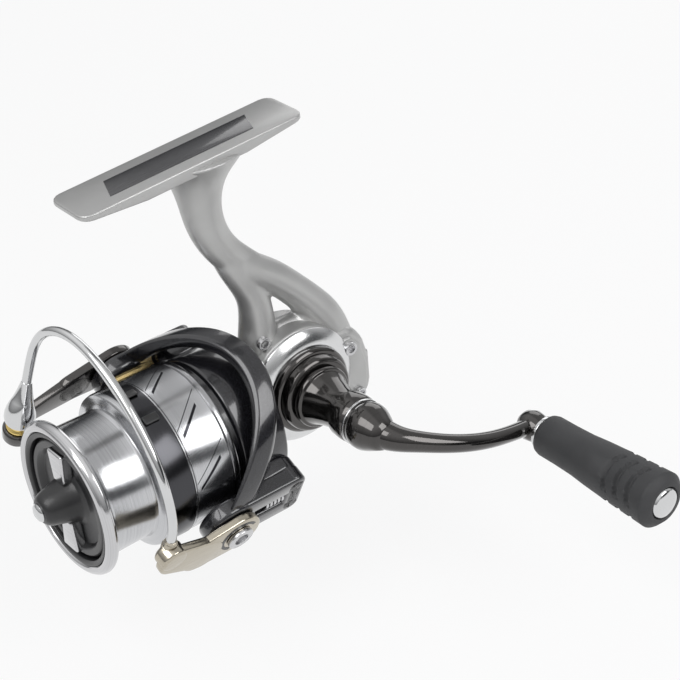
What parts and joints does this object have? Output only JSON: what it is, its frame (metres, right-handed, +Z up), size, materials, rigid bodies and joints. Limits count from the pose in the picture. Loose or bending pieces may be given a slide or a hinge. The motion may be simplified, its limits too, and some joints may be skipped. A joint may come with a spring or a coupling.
{
  "type": "spinning reel",
  "caption": "Spinning fishing reel: a foot and stem over a gear case, a cranked handle with a round-ended knob, a rotor with a folding bail, and a front-drag spool.",
  "frame": {"origin": "the middle of the foot's top face, where the rod lies", "axes": "+X forward along the main shaft to the spool's front, +Y to the handle's side, +Z up to the rod"},
  "size_m": [0.1397, 0.1356, 0.1158],
  "materials": {
    "case_silver": "satin silver paint",
    "cover_satin": "satin",
    "inlay_dark": "brushed dark",
    "trim_dark": "dark chrome",
    "bearing_steel": "ground",
    "steel": "bright",
    "gear_brass": "machined",
    "gear_alloy": "machined",
    "handle_dark": "dark chrome",
    "grip_rubber": "matt",
    "chrome": "polished",
    "rotor_gunmetal": "dark metallic gloss",
    "holder_champagne": "champagne satin",
    "weight_alloy": "plain",
    "roller_gold": "polished",
    "spool_alloy": "polished",
    "clip_black": "matt",
    "felt": "felt",
    "knob_black": "gloss"
  },
  "bodies": {
    "case": {"housing": "case_silver", "foot_inlay": "inlay_dark", "side_cover": "cover_satin", "tail_cover": "case_silver", "rear_cap": "case_silver", "left_screw_cap": "trim_dark", "drive_collar": "trim_dark", "drive_bearing_right": "bearing_steel", "drive_bearing_left": "bearing_steel", "pinion_bearing_front": "bearing_steel", "one_way_clutch": "bearing_steel", "clutch_plate": "bearing_steel", "pinion_bush_rear": "bearing_steel", "cover_screws": "steel", "oscillator_post": "steel"},
    "handle": {"drive_shaft": "gear_alloy", "drive_gear": "gear_alloy", "crosswind_gear": "gear_brass", "handle_cone": "handle_dark", "handle_arm": "handle_dark", "knob_pin": "steel"},
    "knob": {"knob_grip": "grip_rubber", "knob_cap": "chrome", "knob_bearing_inner": "bearing_steel", "knob_bearing_outer": "bearing_steel"},
    "oscillator": {"oscillator_gear": "gear_alloy"},
    "rotor": {"rotor": "rotor_gunmetal", "pinion": "gear_brass", "rotor_nut": "gear_brass", "nut_keeper": "bearing_steel", "bail_spring": "steel", "balance_weight": "weight_alloy", "holder_screw": "steel", "arm_screw": "steel"},
    "bail": {"bail_holder": "holder_champagne", "bail_arm": "trim_dark", "roller_pin": "steel", "roller_cone": "chrome", "bail_wire": "chrome"},
    "roller": {"line_roller": "roller_gold"},
    "shaft": {"main_shaft": "steel", "slider": "clip_black", "spool_seat_washer": "clip_black", "click_gear": "clip_black"},
    "spool": {"spool": "spool_alloy", "spool_lip": "chrome", "spool_bearing_rear": "bearing_steel", "spool_bearing_front": "bearing_steel", "line_clips": "clip_black", "drag_washer_felt_1": "felt", "drag_washer_metal": "steel", "drag_washer_felt_2": "felt", "drag_retainer": "bearing_steel"},
    "drag": {"drag_knob": "knob_black", "drag_knob_cap": "chrome", "drag_grip_bars": "chrome", "drag_spring_cup": "clip_black"}
  },
  "joints": [
    {"name": "handle_turn", "type": "hinge", "parent": "case", "child": "handle", "pos_m": [-0.0256, 0, -0.0787], "axis": [0, 1, 0], "continuous": true},
    {"name": "knob_spin", "type": "hinge", "parent": "handle", "child": "knob", "pos_m": [-0.0732, 0.08, -0.0949], "axis": [0, 1, 0], "continuous": true},
    {"name": "oscillator_turn", "type": "hinge", "parent": "case", "child": "oscillator", "pos_m": [-0.036, 0, -0.0884], "axis": [0, 1, 0], "continuous": true},
    {"name": "rotor_spin", "type": "hinge", "parent": "case", "child": "rotor", "pos_m": [0, 0, -0.0842], "axis": [1, 0, 0], "continuous": true},
    {"name": "bail_swing", "type": "hinge", "parent": "rotor", "child": "bail", "pos_m": [0.0145, 0, -0.0842], "axis": [0, 0.891, -0.454], "range_deg": [0, 105]},
    {"name": "roller_spin", "type": "hinge", "parent": "bail", "child": "roller", "pos_m": [0.046, -0.02586, -0.07327], "axis": [0, 0.454, 0.891], "continuous": true},
    {"name": "spool_stroke", "type": "slide", "parent": "case", "child": "shaft", "axis": [1, 0, 0], "range_m": [0, 0.009]},
    {"name": "spool_drag", "type": "hinge", "parent": "shaft", "child": "spool", "pos_m": [0.03, 0, -0.0842], "axis": [1, 0, 0], "continuous": true},
    {"name": "drag_adjust", "type": "hinge", "parent": "shaft", "child": "drag", "pos_m": [0.05, 0, -0.0842], "axis": [1, 0, 0], "range_deg": [-450, 90]}
  ],
  "couplings": [
    {"joint": "rotor_spin", "follows": "handle_turn", "ratio": -5.3},
    {"joint": "oscillator_turn", "follows": "handle_turn", "ratio": -0.41667}
  ]
}
